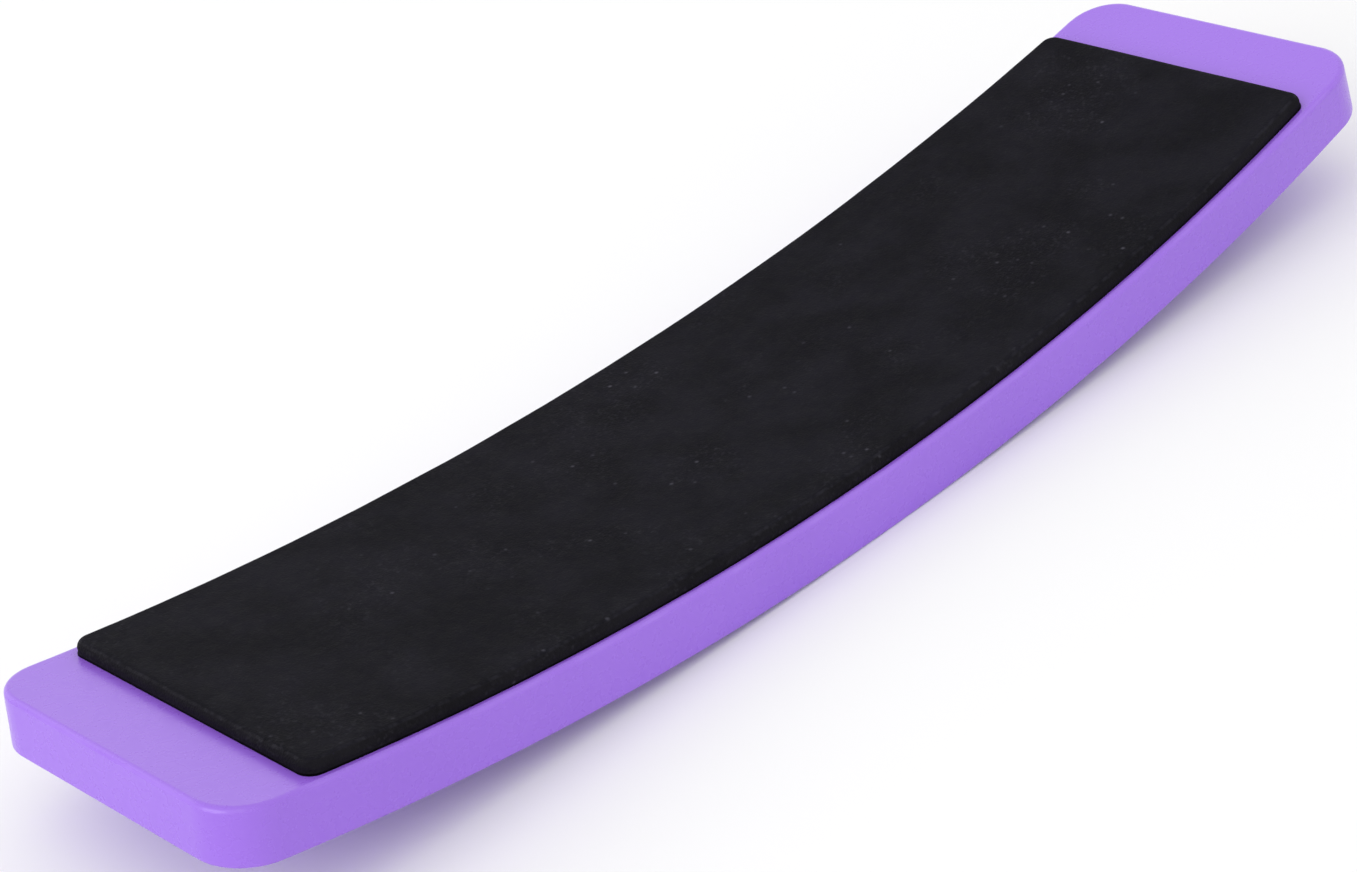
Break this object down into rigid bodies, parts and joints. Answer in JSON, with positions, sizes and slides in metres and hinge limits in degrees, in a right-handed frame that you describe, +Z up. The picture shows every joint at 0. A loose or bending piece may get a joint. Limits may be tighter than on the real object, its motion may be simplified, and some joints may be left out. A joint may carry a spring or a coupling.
{
  "type": "balance board",
  "caption": "Curved rocker board for practising turns: a solid moulded body with a foam foot pad stuck along its concave deck.",
  "frame": {"origin": "the lowest point of the sole, at mid-length and mid-width, where the board meets the floor", "axes": "+X along the board's length, +Y across it, +Z up from the floor towards the foot pad"},
  "size_m": [0.28, 0.07, 0.0263],
  "materials": {
    "body_abs": "lavender purple moulded ABS, fine satin texture",
    "pad_foam": "black closed-cell EVA foam, matte, fine grain",
    "adhesive": "dark double-sided adhesive film"
  },
  "bodies": {
    "root": {"board_body": "body_abs", "adhesive_film": "adhesive", "foam_pad": "pad_foam"}
  },
  "joints": []
}
